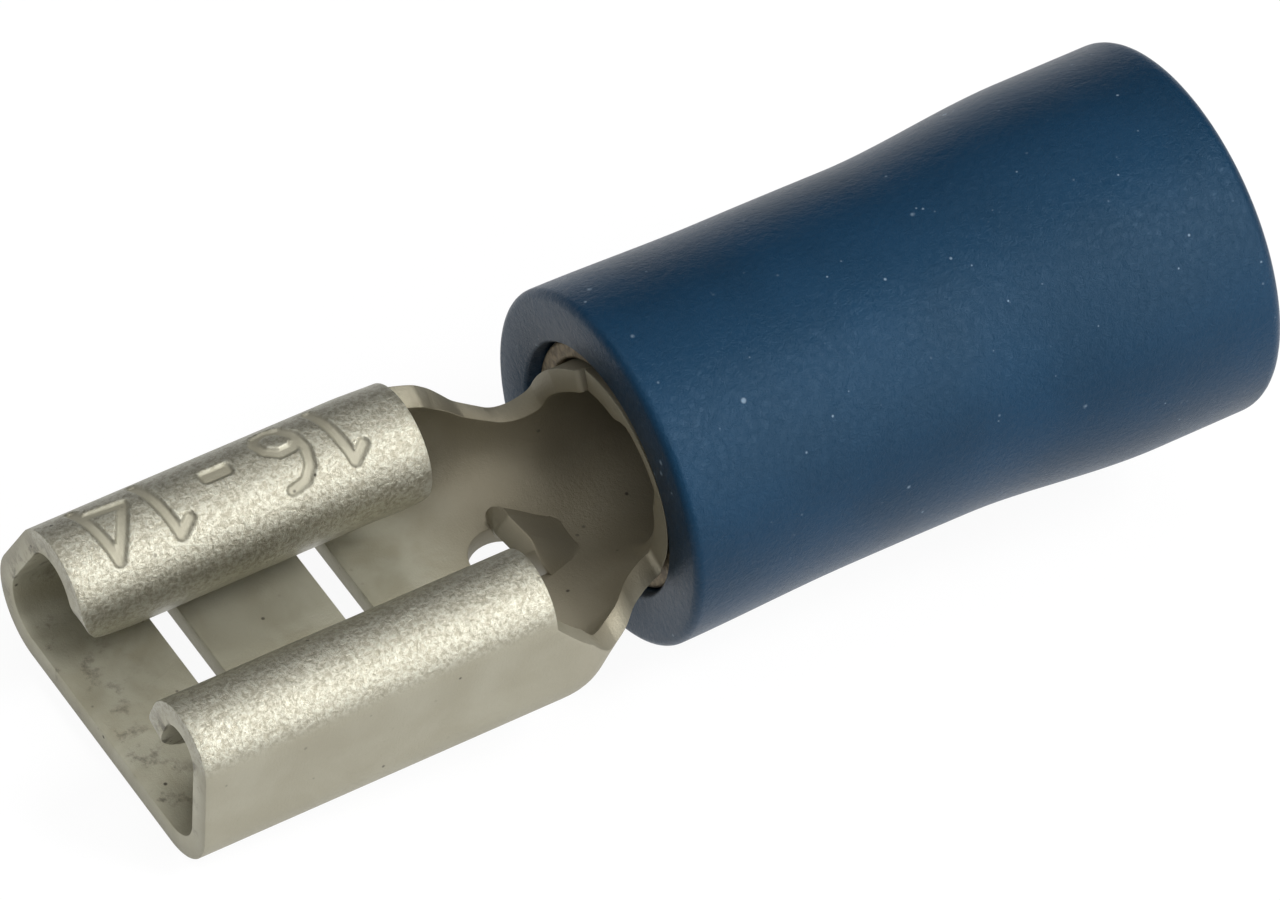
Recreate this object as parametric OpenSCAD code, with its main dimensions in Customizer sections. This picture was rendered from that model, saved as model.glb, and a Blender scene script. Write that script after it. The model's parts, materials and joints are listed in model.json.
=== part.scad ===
// Insulated female spade terminal for a flat blade, crimped onto a stranded wire.
// Built along +X, from the mouth that takes the blade to the wire entry, then laid
// down as it comes to rest: on the front edge of the floor and the front rim of the insulator.

/* [Receptacle] */
// Thickness of the brass strip
sheet_t = 0.38; // [0.3:0.01:0.45]
// Width over the two curls
receptacle_w = 6.12; // [5.8:0.02:7]
// Height over the two curls
receptacle_h = 3.04; // [2.8:0.02:3.4]
// Length of the curls, from the mouth
curl_len = 6.05; // [5.2:0.05:7]
// Outside radius where the floor turns up into the side
floor_bend_r = 0.98; // [0.7:0.02:1.1]
// Outside radius over the top of the upright curl
crown_r = 0.8; // [0.7:0.02:1]
// Angle that the upright curl turns from its side to its lip
curl_turn = 160; // [150:1:170]
// Angle that the other curl leans in over the floor
lean = 28; // [0:1:32]
// Outside radius over the top of the leaning curl
lean_crown_r = 0.95; // [0.8:0.01:1.05]
// Angle that the leaning curl turns from its side to its lip
lean_turn = 184; // [165:1:190]
// Gap for the blade between the floor and a curl's lip
blade_gap = 0.74; // [0.5:0.02:0.9]
// Lead-in radius at the front corner of a lip
lead_in_r = 1.4; // [0.6:0.05:1.5]
// Radius at the rear corner of a lip
lip_rear_r = 0.6; // [0.3:0.05:0.9]

/* [Floor] */
// Length of each window across the floor
window_w = 4.1; // [3:0.1:4.1]
// Opening of each window along the terminal
window_gap = 0.58; // [0.4:0.02:0.8]
// Distance from the mouth to the first window
window_start = 1.7; // [1:0.02:2]
// Distance from one window to the next
window_pitch = 2.56; // [1.5:0.02:2.8]
// Radius of the hole in front of the blade stop
stop_hole_r = 0.62; // [0.5:0.02:0.8]
// Distance from the curls to the middle of that hole
stop_hole_x = 0.98; // [0.7:0.02:1.2]
// Width of the tongue that stops the blade
stop_w = 0.94; // [0.6:0.02:1]
// Length of that tongue, which rises from its root towards the mouth
stop_len = 1.15; // [0.7:0.05:1.3]
// Angle that it rises from the floor
stop_slope = 44; // [20:1:50]

/* [Neck] */
// Length of the neck, from the curls to the rolled barrel
neck_len = 2.65; // [2:0.05:3]
// Height of the neck's side where it leaves the curl
neck_front_h = 2.3; // [1.5:0.05:2.4]
// Height of the neck's side at its lowest
neck_dip_h = 1.35; // [1:0.05:1.6]
// Share of the neck's length at which its sides start to close over the top
close_from = 0.72; // [0.6:0.01:0.8]

/* [Barrel] */
// Radius of the wire barrel's bore
barrel_bore_r = 1.3; // [1.1:0.02:1.4]
// Length of the wire barrel
barrel_len = 5; // [4:0.1:6]
// Height of the barrel's axis above the underside of the floor
axis_h = 1.46; // [1.3:0.02:1.7]
// Width of the groove along the barrel's butt seam
seam_w = 0.1; // [0.06:0.01:0.16]
// Depth of that groove
seam_d = 0.12; // [0.06:0.01:0.2]

/* [Support sleeve] */
// Thickness of the brass support sleeve
support_t = 0.3; // [0.2:0.01:0.4]
// Length of the support sleeve
support_len = 6.4; // [6:0.1:8]
// Distance that it stands back from the insulator's face
support_recess = 0.05; // [0.02:0.01:0.2]
// Clearance round the barrel, and round the support sleeve
fit_gap = 0.04; // [0.02:0.01:0.06]

/* [Insulator] */
// Length of the insulator
insulator_len = 10.45; // [9.5:0.05:12]
// Distance that the barrel's front stands back inside the insulator's face
barrel_recess = 0.1; // [0:0.02:0.3]
// Radius at the front face
front_r = 2.93; // [2.8:0.01:3]
// Radius at the waist
waist_r = 2.84; // [2.7:0.01:2.9]
// Radius of the bell round the wire entry
bell_r = 3.12; // [3:0.01:3.4]
// Distance from the front face to the waist
waist_x = 3.1; // [2:0.1:4]
// Distance from the front face to the start of the flare
flare_x = 5.3; // [4.5:0.1:6]
// Length of the flare
flare_len = 3.3; // [2.5:0.1:3.5]
// Radius of the wire entry at the rear face
entry_r = 2.5; // [2.2:0.02:2.7]
// Length of the funnel behind the rear face
funnel_len = 2.2; // [1.5:0.1:2.3]
// Rounding of the insulator's outer edges
edge_r = 0.26; // [0.15:0.01:0.35]

/* [Hidden] */
tin = "#b9b6a4";
brass = "#a08a63";
blue = "#1d3e66";
round_fn = 96;

// Strip: each curl turns up from the floor, over its crown and back down onto the blade
floor_half = receptacle_w / 2 - floor_bend_r;
lip_z = sheet_t + blade_gap;
function side_len(tilt, crown) =
    (receptacle_h - floor_bend_r * (1 + sin(tilt)) - crown * (1 - sin(tilt))) / cos(tilt);
function crown_y(tilt, crown) =
    floor_half + (floor_bend_r - crown) * cos(tilt) - side_len(tilt, crown) * sin(tilt);
function lip_len(tilt, crown, turn) = (receptacle_h - crown * (1 - sin(tilt + turn))
    - sheet_t * max(sin(tilt + turn), 0) - lip_z) / -cos(tilt + turn);

// Barrel and what fits over it
barrel_r = barrel_bore_r + sheet_t;
barrel_x = curl_len + neck_len;
support_bore_r = barrel_r + fit_gap;
support_r = support_bore_r + support_t;
insulator_bore_r = support_r + fit_gap;
insulator_x = barrel_x - barrel_recess;

// Neck: how late it gathers in, where its edges meet, the set-back of its skin from the
// strip's own faces and the steps round its section
gather = 1.3;
seam_angle = 179;
skin = 0.01;
neck_steps = 40;

// Insulator: a faint taper to the waist, then a soft flare out to the bell
function ease(t) = let (u = min(max(t, 0), 1)) u * u * (3 - 2 * u);
function outer_r(x) = waist_r + (front_r - waist_r) * (1 - ease(x / waist_x))
    + (bell_r - waist_r) * ease((x - flare_x) / flare_len);
outer_profile = concat(
    [for (a = [0:15:75]) [edge_r * (1 - cos(a)), outer_r(0) - edge_r * (1 - sin(a))]],
    [for (i = [0:28]) let (x = edge_r + (insulator_len - 2 * edge_r) * i / 28) [x, outer_r(x)]],
    [for (a = [15:15:90])
        [insulator_len - edge_r * (1 - sin(a)), bell_r - edge_r * (1 - cos(a))]]);

// Rest: the slope from the front edge of the floor to the lowest point of the insulator
rest_tilt = max([for (p = outer_profile) atan((p[1] - axis_h) / (insulator_x + p[0]))]);
rest_front = -receptacle_h * sin(rest_tilt);
rest_rear = max([for (p = outer_profile)
    (insulator_x + p[0]) * cos(rest_tilt) + (p[1] - axis_h) * sin(rest_tilt)]);

// Lays what is drawn along +X down as it rests, centred on its own footprint
module at_rest() {
    translate([-(rest_front + rest_rear) / 2, 0, 0])
        rotate([0, -rest_tilt, 0]) children();
}

// Turns a section drawn as [y, z] so that it runs along +X
module along_x(length) {
    rotate([90, 0, 90]) linear_extrude(length) children();
}

// Straight strip, then whatever carries on from its end
module straight(length) {
    translate([-0.01, 0]) square([length + 0.02, sheet_t]);
    translate([length, 0]) children();
}

// Strip bent upwards round an outside radius, then whatever carries on from its end
module bend(r, angle) {
    translate([0, r]) difference() {
        intersection() {
            circle(r, $fn = round_fn);
            polygon(concat([[0, 0]],
                [for (i = [0:4]) 2 * r * [sin(angle * i / 4), -cos(angle * i / 4)]]));
        }
        circle(r - sheet_t, $fn = round_fn);
    }
    translate([r * sin(angle), r * (1 - cos(angle))]) rotate(angle) children();
}

// Section of one half of the receptacle, from the middle of the floor to the lip
module half_section(tilt, crown, turn) {
    straight(floor_half) bend(floor_bend_r, 90 + tilt) straight(side_len(tilt, crown))
        bend(crown, turn) straight(lip_len(tilt, crown, turn));
}

// Removed from the front corners of the lips, or mirrored from the rear ones, so that
// their edges run round in a quarter circle
module corner_cut(r) {
    y = [-crown_y(0, crown_r), crown_y(lean, lean_crown_r)];
    below = blade_gap / 2;
    translate([0, y[1], lip_z]) rotate([90, 0, 0]) linear_extrude(y[1] - y[0])
        difference() {
            translate([-1, -below]) square([r + 1, r + below]);
            translate([r, r]) circle(r, $fn = round_fn);
        }
}

// The floor and its two curls, with the lips' corners rounded and the floor windows cut
module receptacle() {
    difference() {
        along_x(curl_len) union() {
            half_section(lean, lean_crown_r, lean_turn);
            mirror([1, 0]) half_section(0, crown_r, curl_turn);
        }
        corner_cut(lead_in_r);
        translate([curl_len, 0, 0]) mirror([1, 0, 0]) corner_cut(lip_rear_r);
        for (i = [0, 1])
            translate([window_start + i * window_pitch, -window_w / 2, -1])
                cube([window_gap, window_w, sheet_t + 2]);
    }
}

// Distance from the barrel's axis to the receptacle's section, at an angle from straight
// down, for a surface that lies an inset inside the outer one, under a side that tilts in
function channel_radius(a, inset, tilt) =
    let (half = receptacle_w / 2 - inset, depth = axis_h - inset, r = floor_bend_r - inset,
        c = [half - r, r - depth], d = [sin(a), -cos(a)], along = c * d,
        n = [cos(tilt), sin(tilt)], top = c + r * n)
    a < atan((half - r) / depth) ? depth / cos(a)
        : a > 90 + atan(top[1] / top[0]) ? (c * n + r) / (d * n)
        : along + sqrt(along * along - c * c + r * r);

// Share of the way from the receptacle's section to the barrel's, at a share t of the neck
function neck_mix(t) = ease(pow(t, gather));

function neck_radius(t, a, inset) =
    (1 - neck_mix(t)) * channel_radius(abs(a), inset, a > 0 ? lean : 0)
    + neck_mix(t) * (barrel_r - inset);

// Angle at which the neck's side ends: it dips behind the curl, then closes over the top
front_angle = 90 + atan((neck_front_h - axis_h) / (receptacle_w / 2));
dip_angle = 90 + atan((neck_dip_h - axis_h) / barrel_r);
function neck_edge(t) = t < close_from
    ? front_angle + (dip_angle - front_angle) * ease(t / close_from)
    : let (v = min((t - close_from) / (1 - close_from), 1))
        dip_angle + (seam_angle - dip_angle) * (1 - sqrt(1 - v * v));

// One row of the neck's skin at a share t of its length
function neck_row(t, inset) = [for (j = [0:neck_steps])
    let (a = neck_edge(t) * (2 * j / neck_steps - 1), r = neck_radius(t, a, inset))
    [curl_len + t * neck_len, r * sin(a), axis_h - r * cos(a)]];

// The trough that gathers the floor and sides into the round of the barrel. Its ends are
// buried a little in the strip on both sides.
module neck() {
    lap = 0.08;
    shares = concat([for (i = [0:9]) close_from * i / 10],
        [for (b = [0:9:90]) close_from + (1 - close_from) * sin(b)]);
    open_rows = [for (t = shares) [neck_row(t, skin), neck_row(t, sheet_t - skin)]];
    last = len(shares) - 1;
    rows = concat(
        [[for (s = open_rows[0]) [for (p = s) p - [lap, 0, 0]]]],
        open_rows,
        [[for (s = open_rows[last]) [for (p = s) p + [lap, 0, 0]]]]);
    n = neck_steps + 1;
    count = len(rows);
    points = [for (row = rows) for (s = row) for (p = s) p];
    polyhedron(points, concat(
        [for (i = [0:count - 2]) for (j = [0:n - 2]) for (f = [0, 1])
            let (o = 2 * n * i + j, q = o + 2 * n)
            f == 0 ? [o, q, q + 1] : [o, q + 1, o + 1]],
        [for (i = [0:count - 2]) for (j = [0:n - 2]) for (f = [0, 1])
            let (o = 2 * n * i + n + j, q = o + 2 * n)
            f == 0 ? [o, q + 1, q] : [o, o + 1, q + 1]],
        [for (i = [0:count - 2]) for (f = [0, 1])
            let (o = 2 * n * i, q = o + 2 * n)
            f == 0 ? [o, o + n, q + n] : [o, q + n, q]],
        [for (i = [0:count - 2]) for (f = [0, 1])
            let (o = 2 * n * i + n - 1, q = o + 2 * n)
            f == 0 ? [o, q + n, o + n] : [o, q, q + n]],
        [for (j = [0:n - 2]) for (f = [0, 1])
            f == 0 ? [j, j + 1, n + j + 1] : [j, n + j + 1, n + j]],
        [for (j = [0:n - 2]) for (f = [0, 1]) let (o = 2 * n * (count - 1) + j)
            f == 0 ? [o, o + n + 1, o + 1] : [o, o + n, o + n + 1]]));
}

// The strip rolled into a tube for the wire, with the groove of its butt seam on top
module barrel() {
    translate([barrel_x, 0, axis_h]) difference() {
        rotate([0, 90, 0]) cylinder(barrel_len, r = barrel_r, $fn = round_fn);
        translate([-1, 0, 0]) rotate([0, 90, 0])
            cylinder(barrel_len + 2, r = barrel_bore_r, $fn = round_fn);
        translate([-1, -seam_w / 2, barrel_r - seam_d]) cube([barrel_len + 2, seam_w, 1]);
    }
}

// Where the tongue that stops the blade leaves the neck's floor
root_x = curl_len + stop_hole_x + stop_len * cos(stop_slope);
root_z = axis_h - neck_radius((root_x - curl_len) / neck_len, 0, 0);

// The tongue, lanced from the floor behind the hole and raised towards the mouth
module blade_stop() {
    corner_r = 0.3;
    intersection() {
        translate([root_x, 0, root_z]) rotate([0, stop_slope, 0]) linear_extrude(sheet_t)
            union() {
                translate([corner_r - stop_len, corner_r - stop_w / 2])
                    offset(corner_r, $fn = round_fn / 2)
                        square([stop_len - 2 * corner_r, stop_w - 2 * corner_r]);
                translate([-stop_len / 2, -stop_w / 2]) square([stop_len, stop_w]);
            }
        translate([0, -stop_w, root_z + skin]) cube([barrel_x, 2 * stop_w, receptacle_h]);
    }
}

// The hole, and the slot that the tongue leaves in the floor
module stop_opening() {
    translate([curl_len + stop_hole_x, 0, -1])
        cylinder(sheet_t + 1.2, r = stop_hole_r, $fn = round_fn);
    translate([curl_len + stop_hole_x, -stop_w / 2 - fit_gap, -1])
        cube([root_x - curl_len - stop_hole_x, stop_w + 2 * fit_gap, sheet_t + 1.2]);
}

module terminal() {
    color(tin) at_rest() union() {
        difference() {
            union() {
                receptacle();
                neck();
                barrel();
            }
            stop_opening();
        }
        blade_stop();
    }
}

// Plain tube pressed into the insulator, round the barrel and the wire's own insulation
module support_sleeve() {
    chamfer = 0.05;
    color(brass) at_rest() translate([insulator_x + support_recess, 0, axis_h])
        rotate([0, 90, 0]) rotate_extrude($fn = round_fn) polygon([
            [support_bore_r, chamfer], [support_bore_r + chamfer, 0],
            [support_r - chamfer, 0], [support_r, chamfer],
            [support_r, support_len - chamfer], [support_r - chamfer, support_len],
            [support_bore_r + chamfer, support_len], [support_bore_r, support_len - chamfer]]);
}

module insulator() {
    funnel_x = insulator_len - funnel_len;
    bore = concat(
        [for (i = [12:-1:0]) let (u = i / 12)
            [funnel_x + funnel_len * u,
                insulator_bore_r + (entry_r - insulator_bore_r) * ease(u)]],
        [[0, insulator_bore_r]]);
    color(blue) at_rest() translate([insulator_x, 0, axis_h])
        rotate([0, 90, 0]) rotate_extrude($fn = round_fn)
            polygon([for (p = concat(outer_profile, bore)) [p[1], p[0]]]);
}

terminal();
support_sleeve();
insulator();
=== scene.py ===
"""Looks for the insulated female spade terminal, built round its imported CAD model.

The terminal strip is made as it is in the press: a flat blank is cut and stamped, and
form() then folds it, gathers its neck and rolls its barrel. Everything is worked out in
the terminal's own straight frame, in millimetres, with x running from the mouth, z up from
the underside of the floor and the barrel on the plane y = 0. lay_down() then turns each
piece the way that it lies.
"""
import json
import math

import bmesh
import bpy
from mathutils import Matrix, Vector


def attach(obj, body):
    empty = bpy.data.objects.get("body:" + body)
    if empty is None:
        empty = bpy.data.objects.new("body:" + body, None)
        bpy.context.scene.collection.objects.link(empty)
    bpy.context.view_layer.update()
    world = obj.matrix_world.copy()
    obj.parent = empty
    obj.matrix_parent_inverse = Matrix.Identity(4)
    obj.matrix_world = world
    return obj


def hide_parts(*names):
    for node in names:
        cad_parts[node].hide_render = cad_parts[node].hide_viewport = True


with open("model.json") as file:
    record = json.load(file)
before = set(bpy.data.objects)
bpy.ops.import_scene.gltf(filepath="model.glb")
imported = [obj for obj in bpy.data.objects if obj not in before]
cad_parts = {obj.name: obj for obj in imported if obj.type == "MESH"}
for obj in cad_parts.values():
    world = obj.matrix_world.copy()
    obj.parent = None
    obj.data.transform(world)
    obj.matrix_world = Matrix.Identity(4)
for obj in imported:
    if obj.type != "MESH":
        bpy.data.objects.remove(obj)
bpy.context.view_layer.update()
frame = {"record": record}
MM = 0.001

# Sizes shared with the CAD model, in millimetres
STRIP = 0.38
CURL_LEN = 6.05
HALF_WIDTH = 3.06
RECEPTACLE_H = 3.04
FLOOR_BEND_R = 0.98
CROWN_R = {"upright": 0.8, "leaning": 0.95}
CURL_TURN = {"upright": 160, "leaning": 184}
LEAN = {"upright": 0, "leaning": 28}
BLADE_GAP = 0.74
BARREL_X = 8.7
BARREL_LEN = 5.0
BARREL_R = 1.68
AXIS_H = 1.46
SUPPORT_LEN = 6.4
INSULATOR_X = 8.6
INSULATOR_LEN = 10.45

# How the terminal lies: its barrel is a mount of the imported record
BARREL = next(m for m in frame["record"]["mounts"] if m["name"] == "wire_barrel")
TILT = math.atan2(BARREL["axis"][2], BARREL["axis"][0])
LAY = (Matrix.Translation(BARREL["pos_m"]) @ Matrix.Rotation(-TILT, 4, "Y")
       @ Matrix.Scale(MM, 4) @ Matrix.Translation((-BARREL_X - BARREL_LEN / 2, 0, -AXIS_H)))


# ---------------------------------------------------------------- shader helpers

class Field:
    """A shader socket that can be used in Python arithmetic."""

    def __init__(self, tree, socket):
        self.tree = tree
        self.socket = socket

    def math(self, operation, *others):
        node = self.tree.nodes.new("ShaderNodeMath")
        node.operation = operation
        for slot, value in enumerate((self,) + others):
            plug(self.tree, value, node.inputs[slot])
        return Field(self.tree, node.outputs[0])

    def __add__(self, other):
        return self.math("ADD", other)

    __radd__ = __add__

    def __mul__(self, other):
        return self.math("MULTIPLY", other)

    __rmul__ = __mul__

    def __sub__(self, other):
        return self.math("SUBTRACT", other)

    def __rsub__(self, other):
        return (self * -1.0) + other

    def __truediv__(self, other):
        return self.math("DIVIDE", other)

    def clamp(self):
        return self.math("MAXIMUM", 0.0).math("MINIMUM", 1.0)

    def step(self, low, high):
        """0 below low, 1 above high, with a soft passage between."""
        t = ((self - low) / (high - low)).clamp()
        return t * t * (3.0 - 2.0 * t)


def plug(tree, value, socket):
    if isinstance(value, Field):
        tree.links.new(value.socket, socket)
    else:
        socket.default_value = value


class Finish:
    """A node material with one Principled shader, made with one method for any node."""

    def __init__(self, name):
        self.material = bpy.data.materials.new(name)
        self.material.use_nodes = True
        self.tree = self.material.node_tree
        self.shader = self.tree.nodes["Principled BSDF"]
        self.place = self.node("ShaderNodeTexCoord", output="Object")

    def node(self, kind, output=0, settings=None, **inputs):
        made = self.tree.nodes.new(kind)
        for name, value in (settings or {}).items():
            setattr(made, name, value)
        for name, value in inputs.items():
            plug(self.tree, value, made.inputs[name.replace("_", " ")])
        return Field(self.tree, made.outputs[output])

    def noise(self, size_mm, detail=4.0, roughness=0.55, distortion=0.0, stretch=(1, 1, 1),
              seed=0.0):
        """Noise whose lumps are about size_mm across, as a value round 0.5."""
        place = self.node("ShaderNodeMapping", Vector=self.place,
                          Location=(seed, seed * 0.7, -seed),
                          Scale=tuple(s / (size_mm * MM) for s in stretch))
        return self.node("ShaderNodeTexNoise", output="Fac", Vector=place, Scale=1.0,
                         Detail=detail, Roughness=roughness, Distortion=distortion)

    def cells(self, size_mm, seed=0.0):
        """Distance to the nearest of scattered points, in units of their spacing."""
        place = self.node("ShaderNodeMapping", Vector=self.place, Location=(seed, seed, seed),
                          Scale=(1 / (size_mm * MM),) * 3)
        return self.node("ShaderNodeTexVoronoi", output="Distance", Vector=place, Scale=1.0)

    def along(self, start_mm, end_mm):
        """Passage from 0 to 1 between two places along the length."""
        length = self.node("ShaderNodeSeparateXYZ", Vector=self.place)
        return length.step(start_mm * MM, end_mm * MM)

    def attribute(self, name):
        return self.node("ShaderNodeAttribute", output="Fac", settings={"attribute_name": name})

    def mix(self, fraction, first, second):
        """Colour that goes from first to second."""
        node = self.tree.nodes.new("ShaderNodeMix")
        node.data_type = "RGBA"
        for value, slot in ((fraction, 0), (first, 6), (second, 7)):
            if isinstance(value, tuple):
                value = (*value, 1.0)
            plug(self.tree, value, node.inputs[slot])
        return Field(self.tree, node.outputs[2])

    def bump(self, height, depth_mm, strength=1.0):
        return self.node("ShaderNodeBump", Height=height, Distance=depth_mm * MM, Strength=strength)

    def set(self, **inputs):
        for name, value in inputs.items():
            if isinstance(value, tuple) and len(value) == 3:
                value = (*value, 1.0)
            plug(self.tree, value, self.shader.inputs[name.replace("_", " ")])
        return self.material


# ---------------------------------------------------------------- mesh helpers

def ease(t):
    t = min(max(t, 0.0), 1.0)
    return t * t * (3 - 2 * t)


def mix(a, b, t):
    return a + (b - a) * t


def rounded(corners):
    """Points of an outline, given as (x, u, radius): each corner becomes an arc."""
    points = []
    for i, (x, u, radius) in enumerate(corners):
        here = Vector((x, u))
        before = (Vector(corners[i - 1][:2]) - here).normalized()
        after = (Vector(corners[(i + 1) % len(corners)][:2]) - here).normalized()
        if radius == 0:
            points.append(here)
            continue
        half = before.angle(after) / 2
        middle = here + (before + after).normalized() * radius / math.sin(half)
        start = here + before * radius / math.tan(half) - middle
        end = here + after * radius / math.tan(half) - middle
        steps = max(3, round(math.degrees(start.angle(end)) / 9))
        for k in range(steps + 1):
            arm = start.lerp(end, k / steps)
            points.append(middle + arm.normalized() * radius)
    return points


def prism(points, z0, z1):
    """A closed flat solid between z0 and z1, with the outline given as (x, u)."""
    bm = bmesh.new()
    face = bm.faces.new([bm.verts.new((p[0], p[1], z0)) for p in points])
    lifted = bmesh.ops.extrude_face_region(bm, geom=[face])
    top = [v for v in lifted["geom"] if isinstance(v, bmesh.types.BMVert)]
    bmesh.ops.translate(bm, verts=top, vec=(0, 0, z1 - z0))
    bmesh.ops.recalc_face_normals(bm, faces=bm.faces)
    return bm


def to_object(bm, name):
    mesh = bpy.data.meshes.new(name)
    bm.to_mesh(mesh)
    bm.free()
    piece = bpy.data.objects.new(name, mesh)
    bpy.context.scene.collection.objects.link(piece)
    return piece


def cut(bm, cutters):
    """Takes the solids in cutters out of the solid bm."""
    body = to_object(bm, "blank")
    for cutter in cutters:
        tool = to_object(cutter, "cutter")
        step = body.modifiers.new("cut", "BOOLEAN")
        step.object = tool
        step.solver = "EXACT"
    evaluated = body.evaluated_get(bpy.context.evaluated_depsgraph_get())
    result = bmesh.new()
    result.from_mesh(evaluated.to_mesh())
    for step in list(body.modifiers):
        bpy.data.objects.remove(step.object)
    bpy.data.objects.remove(body)
    return result


def slice_up(bm, axis, places, inside=None):
    """Cuts the faces across at each place along an axis, all of them or those inside a test."""
    normal = Vector((0, 0, 0))
    normal[axis] = 1
    for place in places:
        faces = [f for f in bm.faces if inside is None or inside(f.calc_center_median())]
        edges = {e for f in faces for e in f.edges}
        verts = {v for f in faces for v in f.verts}
        bmesh.ops.bisect_plane(bm, geom=[*verts, *edges, *faces], dist=1e-5,
                               plane_co=normal * place, plane_no=normal)


def spaced(start, end, gap):
    count = max(1, round((end - start) / gap))
    return [mix(start, end, i / count) for i in range(1, count)]


def lay_down(piece):
    piece.data.transform(LAY)
    return piece


def finish_piece(piece, material, node, sharp=35):
    piece.data.materials.clear()
    piece.data.materials.append(material)
    piece.data.shade_smooth()
    piece.data.set_sharp_from_angle(angle=math.radians(sharp))
    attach(piece, "root")
    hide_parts(node)
    return piece


# ---------------------------------------------------------------- the folded strip

def curl_steps(curl):
    """The folds of one half of the receptacle, outwards from the middle of its floor: the
    length of each straight, or the outside radius and angle of each bend."""
    lean, crown, turn = math.radians(LEAN[curl]), CROWN_R[curl], math.radians(CURL_TURN[curl])
    side = ((RECEPTACLE_H - FLOOR_BEND_R * (1 + math.sin(lean)) - crown * (1 - math.sin(lean)))
            / math.cos(lean))
    end = lean + turn
    lip = ((RECEPTACLE_H - crown * (1 - math.sin(end)) - STRIP * max(math.sin(end), 0)
            - STRIP - BLADE_GAP) / -math.cos(end))
    return [(HALF_WIDTH - FLOOR_BEND_R, None), (FLOOR_BEND_R, math.pi / 2 + lean), (side, None),
            (crown, turn), (lip, None)]


CURLS = {curl: curl_steps(curl) for curl in CROWN_R}


def developed(curl, count=5):
    """Flat length of the first count folds of a curl."""
    return sum(size if angle is None else size * angle for size, angle in CURLS[curl][:count])


def folded(curl, s):
    """Where a point s from the middle of the blank ends up in the receptacle's section, on
    the outer face, and the heading of the strip there."""
    y, z, heading = 0.0, 0.0, 0.0
    last = len(CURLS[curl]) - 1
    for i, (size, angle) in enumerate(CURLS[curl]):
        length = size if angle is None else size * angle
        run = s if i == last else min(s, length)
        if angle is None:
            y += run * math.cos(heading)
            z += run * math.sin(heading)
        else:
            turned = heading + run / size
            y += size * (math.sin(turned) - math.sin(heading))
            z += size * (math.cos(heading) - math.cos(turned))
            heading = turned
        s -= run
        if s <= 0:
            break
    return y, z, heading


# How the neck gathers in: where it starts and ends, and the power that delays it on each side
NECK = (6.2, 8.6)
GATHER = {"upright": 1.5, "leaning": 1.15}

# The tongue that stops the blade: its free end, its root and its two sides, and the stretch of
# the blank that it lifts
TONGUE_END, TONGUE_ROOT, TONGUE_SIDES = 6.98, 8.2, (-0.6, 0.46)
LIFTED_X, LIFTED_U = (TONGUE_END - 0.1, TONGUE_ROOT), (-0.85, 0.66)

# The leaning curl's crown dips a little towards its rear
CROWN_DIP = 0.05


def shoulder(x, u):
    """How far the upright side's neck stands out in front of the tube that fits behind it."""
    if u > 0:
        return 0.0
    return ((0.55 - 0.34 * (x - 7.8)) * ease((-u - 0.8) / 1.2) * ease((x - 7.0) / 0.8)
            * (1 - ease((x - 8.66) / 0.2)))


def raised(x, u):
    """How high the tongue is pushed up: steeply on the leaning curl's side, softly on the other."""
    past = max(TONGUE_ROOT - x, 0.0)
    near, far = TONGUE_SIDES
    return (0.77 * past * past / (past + 0.5) * ease((u - near) / 0.42)
            * (1 - ease((u - far + 0.1) / 0.2)))


def form(x, u, w):
    """Folds a point of the blank: x along it, u across it, w up from its outer face."""
    curl = "leaning" if u > 0 else "upright"
    side = 1 if u > 0 else -1
    y, z, heading = folded(curl, abs(u))
    t = min(max((x - NECK[0]) / (NECK[1] - NECK[0]), 0.0), 1.0)
    share = ease(t ** mix(1.33, GATHER[curl], min(abs(u) / 1.5, 1)))
    around = abs(u) / BARREL_R
    out = BARREL_R + shoulder(x, u)
    y = mix(y, out * math.sin(around), share)
    z = mix(z, AXIS_H - BARREL_R * math.cos(around), share)
    heading = mix(heading, around, share)
    if u > 4:
        z -= CROWN_DIP * ease((x - 5.2) / 0.9) * ease((u - 4.2) / 0.7) * (1 - share)
    place = Vector((x, side * (y - w * math.sin(heading)), z + w * math.cos(heading)))
    if LIFTED_X[0] < x < LIFTED_X[1] and LIFTED_U[0] < u < LIFTED_U[1]:
        h, d = raised(x, u), 0.01
        up = Vector(((h - raised(x + d, u)) / d, (h - raised(x, u + d)) / d, 1)).normalized()
        place += Vector((0, 0, h)) + w * (up - Vector((0, 0, 1)))
    return place


# The outline of the blank. The upright curl is at negative u, the leaning one at positive u.
SEAM = 0.73
SEAM_GAP = 0.05
LIP = {"upright": -developed("upright"), "leaning": developed("leaning")}
ROLL = {"upright": -math.pi * BARREL_R - SEAM + SEAM_GAP / 2,
        "leaning": math.pi * BARREL_R - SEAM - SEAM_GAP / 2}
OUTLINE = [
    (0.002, LIP["upright"], 1.1), (0.002, LIP["leaning"], 1.5),
    (6.06, LIP["leaning"], 0.5), (6.03, 5.4, 0.3), (6.3, 4.85, 0.25), (6.85, 4.5, 0.4),
    (7.45, 3.38, 0.8), (8.0, 2.78, 0.35), (8.41, 2.98, 0.25), (8.46, 3.9, 0.3),
    (8.62, ROLL["leaning"], 0.1),
    (BARREL_X + BARREL_LEN, ROLL["leaning"], 0), (BARREL_X + BARREL_LEN, ROLL["upright"], 0),
    (8.72, ROLL["upright"], 0.15), (8.72, -1.95, 0.12), (8.1, -2.05, 0.4), (7.42, -2.9, 0.5),
    (6.73, -4.12, 0.4), (6.04, -4.95, 0.1), (6.04, LIP["upright"], 0.6),
]
WINDOWS = [(1.74, 2.2), (4.3, 4.78)]
WINDOW_END = 2.05
STOP_HOLE = (7.1, 0.0, 0.62)


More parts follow.
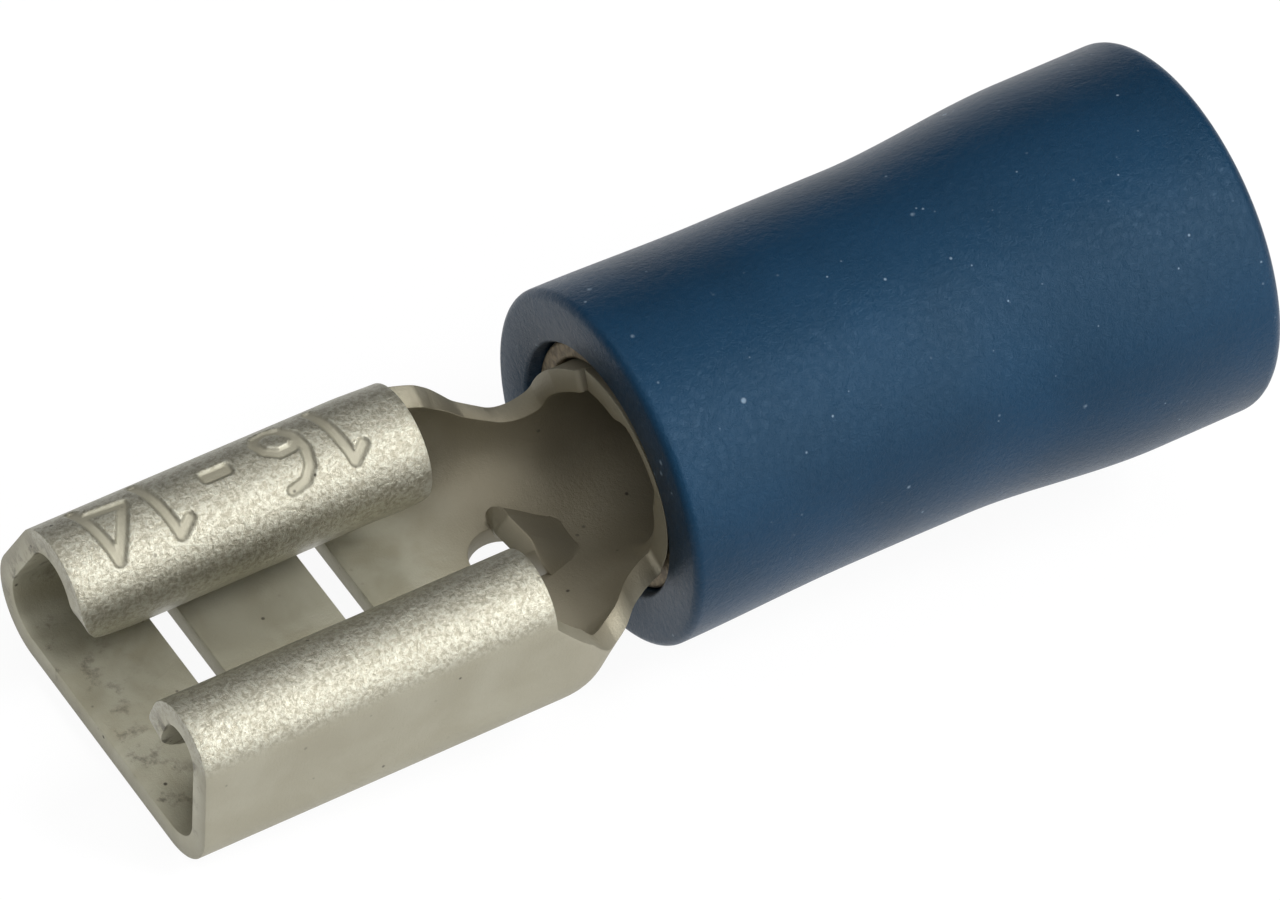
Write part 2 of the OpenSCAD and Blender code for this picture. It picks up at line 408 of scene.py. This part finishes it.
# The wire sizes pressed into the leaning curl, which read towards the mouth: the middle lines
# of their strokes on the blank
FIGURES = [
    [(4.7, 5.82), (4.9, 7.02), (5.13, 6.82)],
    [(3.8, 7.06), (4.05, 7.0), (4.22, 6.8), (4.29, 6.5), (4.25, 6.2), (4.1, 5.95), (3.92, 5.86),
     (3.74, 5.91), (3.64, 6.08), (3.7, 6.3), (3.9, 6.44), (4.12, 6.42), (4.26, 6.3)],
    [(2.68, 6.27), (3.04, 6.27), (3.04, 6.34), (2.68, 6.34)],
    [(1.7, 5.78), (1.9, 7.02), (2.13, 6.82)],
    [(0.64, 5.8), (0.84, 7.02), (1.36, 6.12), (0.68, 6.04)],
]
FIGURE_ROOM = ((0.45, 5.35), (5.6, 7.3))
STROKE, PRESSED = 0.085, 0.045


def off_stroke(x, u):
    """Distance from the middle line of the nearest stroke."""
    here, nearest = Vector((x, u)), 9.0
    for line in FIGURES:
        for a, b in zip(line, line[1:]):
            a, b = Vector(a), Vector(b)
            along = min(max((here - a).dot(b - a) / (b - a).length_squared, 0), 1)
            nearest = min(nearest, (here - a.lerp(b, along)).length)
    return nearest


def blank():
    """The flat strip, with its windows and hole cut and its edges broken."""
    plate = prism(rounded(OUTLINE), 0, STRIP)
    cutters = [prism(rounded([(a, -WINDOW_END, 0.08), (b, -WINDOW_END, 0.08), (b, WINDOW_END, 0.08),
                              (a, WINDOW_END, 0.08)]), -1, 1) for a, b in WINDOWS]
    x, u, r = STOP_HOLE
    circle = prism([(x + r * math.cos(a * math.tau / 48), u + r * math.sin(a * math.tau / 48))
                    for a in range(48)], -1, 1)
    near, far = TONGUE_SIDES
    tongue = prism(rounded([(TONGUE_END + 0.74, near, 0), (TONGUE_END + 0.13, near + 0.38, 0.14),
                            (TONGUE_END, far, 0.18), (TONGUE_ROOT, far, 0),
                            (TONGUE_ROOT, near, 0)]), -2, 2)
    cutters.append(cut(circle, [tongue]))
    plate = cut(plate, cutters)
    rims = [e for e in plate.edges if e.calc_face_angle(0) > 1.0
            and abs(e.verts[0].co.z - e.verts[1].co.z) < 1e-4]
    bmesh.ops.bevel(plate, geom=rims, affect="EDGES", offset=0.045, segments=2, profile=0.5,
                    material=-1, clamp_overlap=True)
    return plate


def grid_places():
    """Where the blank is sliced, finer where it bends."""
    across = []
    for curl, side in (("upright", -1), ("leaning", 1)):
        at = 0.0
        for size, angle in CURLS[curl]:
            length = size if angle is None else size * angle
            gap = 0.16 if angle is None else 0.08
            across += [side * s for s in [*spaced(at, at + length, gap), at + length]]
            at += length
    across.append(0.0)
    along = [*spaced(0, CURL_LEN, 0.16), CURL_LEN, *spaced(CURL_LEN, BARREL_X, 0.09), BARREL_X,
             *spaced(BARREL_X, BARREL_X + BARREL_LEN, 0.4)]
    return along, sorted(across)


# The chamfer struck inside the barrel's front rim, on the upright curl's side
COINED_LEN, COINED_DEPTH = 0.26, 0.24
RIM_SLICES = [8.76, 8.84, 8.92, 9.0]


def slice_for_detail(strip):
    """Finer slices where the tongue is lifted, the figures are pressed and the rim is struck."""
    slice_up(strip, 0, RIM_SLICES)
    near_tongue = lambda c: 6.75 < c.x < 8.35 and -0.95 < c.y < 0.85
    slice_up(strip, 0, spaced(6.75, 8.25, 0.05), near_tongue)
    slice_up(strip, 1, spaced(-0.95, 0.85, 0.06), near_tongue)
    (x0, x1), (u0, u1) = FIGURE_ROOM
    near_figures = lambda c: c.z < 0.01 and x0 < c.x < x1 and u0 < c.y < u1
    slice_up(strip, 0, spaced(x0, x1, 0.03), near_figures)
    slice_up(strip, 1, spaced(u0, u1, 0.03), near_figures)


def coined(x, u):
    """Depth of the chamfer inside the barrel's front rim."""
    across = ease((-u - 3.1) / 0.5) * ease((u + 5.1) / 0.4)
    lengthways = max(1 - (x - BARREL_X) / COINED_LEN, 0) * ease((x - 8.6) / 0.05)
    return COINED_DEPTH * lengthways * across


def terminal(material):
    strip = blank()
    along, across = grid_places()
    slice_up(strip, 0, along)
    slice_up(strip, 1, across)
    slice_for_detail(strip)
    (x0, x1), (u0, u1) = FIGURE_ROOM
    pressed = strip.verts.layers.float.new("pressed")
    outside = strip.verts.layers.float.new("outside")
    crowned = strip.verts.layers.float.new("crowned")
    for v in strip.verts:
        x, u, w = v.co
        if w < 0.01 and x0 < x < x1 and u0 < u < u1:
            v[pressed] = 1 - ease((off_stroke(x, u) - STROKE + 0.035) / 0.07)
        crown = developed("leaning" if u > 0 else "upright", 3)
        v[outside] = 1 if w < STRIP / 2 else 0
        v[crowned] = v[outside] * ease((abs(u) - crown - 0.1) / 0.3) * (1 - ease((x - 5.9) / 0.4))
        w += v[pressed] * PRESSED
        if w > STRIP / 2:
            w -= coined(x, u)
        v.co = form(x, u, w)
    bmesh.ops.recalc_face_normals(strip, faces=strip.faces)
    piece = lay_down(to_object(strip, "terminal_strip"))
    return finish_piece(piece, material, "terminal")


# ---------------------------------------------------------------- tube and insulator

def lathe(name, profile, steps=160):
    """A closed ring of the profile, given as (x, radius), spun round the barrel's axis."""
    bm = bmesh.new()
    verts = [bm.verts.new((x, 0, AXIS_H + r)) for x, r in profile]
    edges = [bm.edges.new((a, b)) for a, b in zip(verts, verts[1:] + verts[:1])]
    bmesh.ops.spin(bm, geom=verts + edges, cent=(0, 0, AXIS_H), axis=(1, 0, 0), angle=math.tau,
                   steps=steps, use_merge=True)
    bmesh.ops.remove_doubles(bm, verts=bm.verts, dist=1e-5)
    bmesh.ops.recalc_face_normals(bm, faces=bm.faces)
    return bm


def support_sleeve(material):
    x0, x1, r0, r1, c = INSULATOR_X + 0.22, INSULATOR_X + SUPPORT_LEN, 1.72, 2.02, 0.06
    profile = rounded([(x0, r0, c), (x1, r0, c), (x1, r1, c), (x0, r1, c)])
    piece = lay_down(to_object(lathe("ring", profile), "support_tube"))
    return finish_piece(piece, material, "support_sleeve")


FRONT_R, WAIST_R, BELL_R = 2.91, 2.84, 3.06
BELL_ASIDE = 0.06
WAIST_X, FLARE_X, FLARE_LEN = 3.1, 5.3, 3.3
BORE_R, ENTRY_R, FUNNEL_LEN, EDGE_R, FRONT_EDGE_R = 2.06, 2.5, 2.2, 0.26, 0.15


def outer_r(x):
    return (WAIST_R + (FRONT_R - WAIST_R) * (1 - ease(x / WAIST_X))
            + (BELL_R - WAIST_R) * ease((x - FLARE_X) / FLARE_LEN))


def insulator(material):
    front = [(FRONT_EDGE_R * (1 - math.cos(a)), outer_r(0) - FRONT_EDGE_R * (1 - math.sin(a)))
             for a in (math.pi / 2 * i / 8 for i in range(8))]
    skin = [(x, outer_r(x)) for x in
            (mix(FRONT_EDGE_R, INSULATOR_LEN - EDGE_R, i / 70) for i in range(71))]
    rear = [(INSULATOR_LEN - EDGE_R * (1 - math.sin(a)), BELL_R - EDGE_R * (1 - math.cos(a)))
            for a in (math.pi / 2 * i / 8 for i in range(1, 9))]
    funnel = [(INSULATOR_LEN - FUNNEL_LEN * i / 16, ENTRY_R + (BORE_R - ENTRY_R) * ease(i / 16))
              for i in range(17)]
    bore = [(x, BORE_R) for x in (INSULATOR_LEN / 2, 0.05)] + [(0, BORE_R + 0.05)]
    profile = [(INSULATOR_X + x, r) for x, r in front + skin + rear + funnel + bore]
    sleeve = lathe("sleeve", profile)
    for v in sleeve.verts:
        v.co.y -= BELL_ASIDE * ease((v.co.x - INSULATOR_X - WAIST_X) / 6)
    piece = lay_down(to_object(sleeve, "insulator_sleeve"))
    return finish_piece(piece, material, "insulator", sharp=50)


# ---------------------------------------------------------------- finishes

def tin_plating():
    """Dull inside, browner in the neck, worked to a spangled shine on the crowns, dirt in pits."""
    look = Finish("tin_plating")
    outside = look.attribute("outside")
    worked = look.attribute("crowned") * (1.0 - look.attribute("pressed"))
    blotch = look.noise(1.4, detail=3, distortion=0.6)
    spangle = look.noise(0.08, detail=5, roughness=0.75, distortion=0.3)
    grain = look.noise(0.045, detail=4, roughness=0.7)
    rubbed = look.noise(0.09, detail=3, stretch=(1, 0.25, 0.25), seed=2.0)
    pits = 1.0 - look.cells(0.42).step(0.04, 0.1)
    calm = look.mix(blotch.step(0.3, 0.7), (0.33, 0.31, 0.225), (0.44, 0.425, 0.335))
    calm = look.mix(look.along(-4.2, -2.0) * 0.8, calm, (0.23, 0.2, 0.14))
    # Painted shade: the outer face is coloured darker than the inside and its blotches flattened
    calm = look.mix(outside * 0.7, calm, (0.25, 0.235, 0.18))
    shiny = look.mix(spangle.step(0.36, 0.62), (0.25, 0.235, 0.18), (0.41, 0.4, 0.33))
    colour = look.mix(worked, calm, shiny)
    at_mouth = (1.0 - look.along(-9.5, -7.8)) * (1.0 - outside)
    smudge = at_mouth * look.noise(0.45, detail=6, roughness=0.7, seed=9.0).step(0.5, 0.66)
    dirt = (pits * look.noise(1.1, seed=5.0).step(0.42, 0.58)).math("MAXIMUM", smudge * 0.75)
    colour = look.mix(dirt, colour, (0.07, 0.06, 0.045))
    height = (spangle * 0.6 + rubbed * 0.4) * (0.25 + 0.75 * worked) + grain * 0.25
    return look.set(Base_Color=colour, Metallic=0.55 + 0.35 * worked,
                    Roughness=0.46 - 0.17 * worked + 0.12 * spangle + 0.06 * blotch,
                    Normal=look.bump(height, 0.03, 0.9))


def drawn_brass():
    look = Finish("drawn_brass")
    speckle = look.noise(0.12, detail=4)
    colour = look.mix(speckle.step(0.35, 0.65), (0.15, 0.12, 0.08), (0.28, 0.23, 0.155))
    return look.set(Base_Color=colour, Metallic=0.7, Roughness=0.5 + 0.15 * speckle,
                    Normal=look.bump(speckle, 0.03, 0.8))


def blue_pvc():
    look = Finish("blue_pvc")
    grain = look.noise(0.13, detail=6, roughness=0.75, distortion=0.5)
    fine = look.noise(0.05, detail=3, roughness=0.7)
    cloud = look.noise(2.6, detail=2)
    colour = look.mix(cloud.step(0.3, 0.7), (0.0015, 0.017, 0.04), (0.0022, 0.022, 0.052))
    for spacing, seed in ((0.28, 0.0), (0.4, 7.0), (0.75, 4.0)):
        dust = 1.0 - look.cells(spacing, seed=seed).step(0.03, 0.075)
        colour = look.mix(dust * look.noise(0.7, seed=seed + 3).step(0.48, 0.6) * 0.6, colour,
                          (0.22, 0.29, 0.36))
    return look.set(Base_Color=colour, Roughness=0.26 + 0.16 * grain, Specular_IOR_Level=0.26,
                    Specular_Tint=(0.5, 0.75, 1.0),
                    Normal=look.bump(grain * 0.75 + fine * 0.25, 0.024, 1.0))


# ---------------------------------------------------------------- the set

AIR_LIGHT, PAPER_GLOW = 0.14, 0.93
LAMP_AIM = Vector((0, 0, 3))


def direct_sight(tree):
    """1 for what the camera sees, straight or in a reflection, and 0 for what lights a surface."""
    path = tree.nodes.new("ShaderNodeLightPath")
    return (Field(tree, path.outputs["Is Camera Ray"]) + Field(tree, path.outputs["Is Glossy Ray"])
            + Field(tree, path.outputs["Is Transmission Ray"])).math("MINIMUM", 1.0)


def paper(name):
    """White to the camera and to reflections, and a matt surface for the shadows."""
    look = Finish(name)
    look.set(Base_Color=(0.9, 0.9, 0.9), Roughness=0.9)
    tree = look.tree
    glow = tree.nodes.new("ShaderNodeEmission")
    glow.inputs["Color"].default_value = (1, 1, 1, 1)
    blend = tree.nodes.new("ShaderNodeMixShader")
    plug(tree, direct_sight(tree) * PAPER_GLOW, blend.inputs[0])
    tree.links.new(look.shader.outputs[0], blend.inputs[1])
    tree.links.new(glow.outputs[0], blend.inputs[2])
    tree.links.new(blend.outputs[0], tree.nodes["Material Output"].inputs["Surface"])
    return look.material


def studio():
    bm = bmesh.new()
    bmesh.ops.create_grid(bm, x_segments=2, y_segments=2, size=1.5)
    floor = to_object(bm, "floor")
    floor.data.materials.append(paper("white_paper"))
    world = bpy.data.worlds.new("studio_air")
    bpy.context.scene.world = world
    world.use_nodes = True
    shell = world.node_tree.nodes["Background"]
    shell.inputs["Color"].default_value = (1, 1, 1, 1)
    shell.inputs["Strength"].default_value = AIR_LIGHT


def lamp(name, azimuth, elevation, distance, size, power):
    """A softbox at an angle round the terminal, in degrees, with lengths in millimetres."""
    a, e = math.radians(azimuth), math.radians(elevation)
    back = Vector((math.sin(a) * math.cos(e), -math.cos(a) * math.cos(e), math.sin(e)))
    data = bpy.data.lights.new(name, "AREA")
    data.shape = "RECTANGLE"
    data.size, data.size_y = (side * MM for side in size)
    data.energy = power
    box = bpy.data.objects.new(name, data)
    box.location = (LAMP_AIM + back * distance) * MM
    box.rotation_mode = "QUATERNION"
    box.rotation_quaternion = back.to_track_quat("Z", "Y")
    bpy.context.scene.collection.objects.link(box)


def camera():
    """Seen from the front and above, a little rolled, with a long lens."""
    azimuth, elevation, roll = map(math.radians, (-34.13, 48.32, 3.48))
    distance, aim = 181.47, Vector((9.378, 0, 1.487))
    back = Vector((math.sin(azimuth) * math.cos(elevation),
                   -math.cos(azimuth) * math.cos(elevation), math.sin(elevation)))
    right = Vector((math.cos(azimuth), math.sin(azimuth), 0))
    right = Matrix.Rotation(roll, 3, back) @ right
    turn = LAY.to_3x3().normalized()
    back, right = turn @ back, turn @ right
    data = bpy.data.cameras.new("camera")
    data.sensor_width = 36
    data.lens = 337.5
    data.clip_start, data.clip_end = 0.01, 10
    eye = bpy.data.objects.new("camera", data)
    axes = Matrix((right, back.cross(right), back)).transposed()
    eye.matrix_world = Matrix.LocRotScale(LAY @ aim + back * distance * MM, axes, None)
    bpy.context.scene.collection.objects.link(eye)
    bpy.context.scene.camera = eye


camera()
studio()
lamp("front_box", 26, 24, 240, (210, 170), 0.5)
lamp("upper_box", 42, 56, 240, (80, 80), 0.4)
lamp("ceiling", 200, 70, 300, (260, 200), 0.36)
lamp("fill", -60, 50, 300, (160, 160), 0.22)
terminal(tin_plating())
support_sleeve(drawn_brass())
insulator(blue_pvc())

bpy.context.scene.view_settings.view_transform = "Standard"
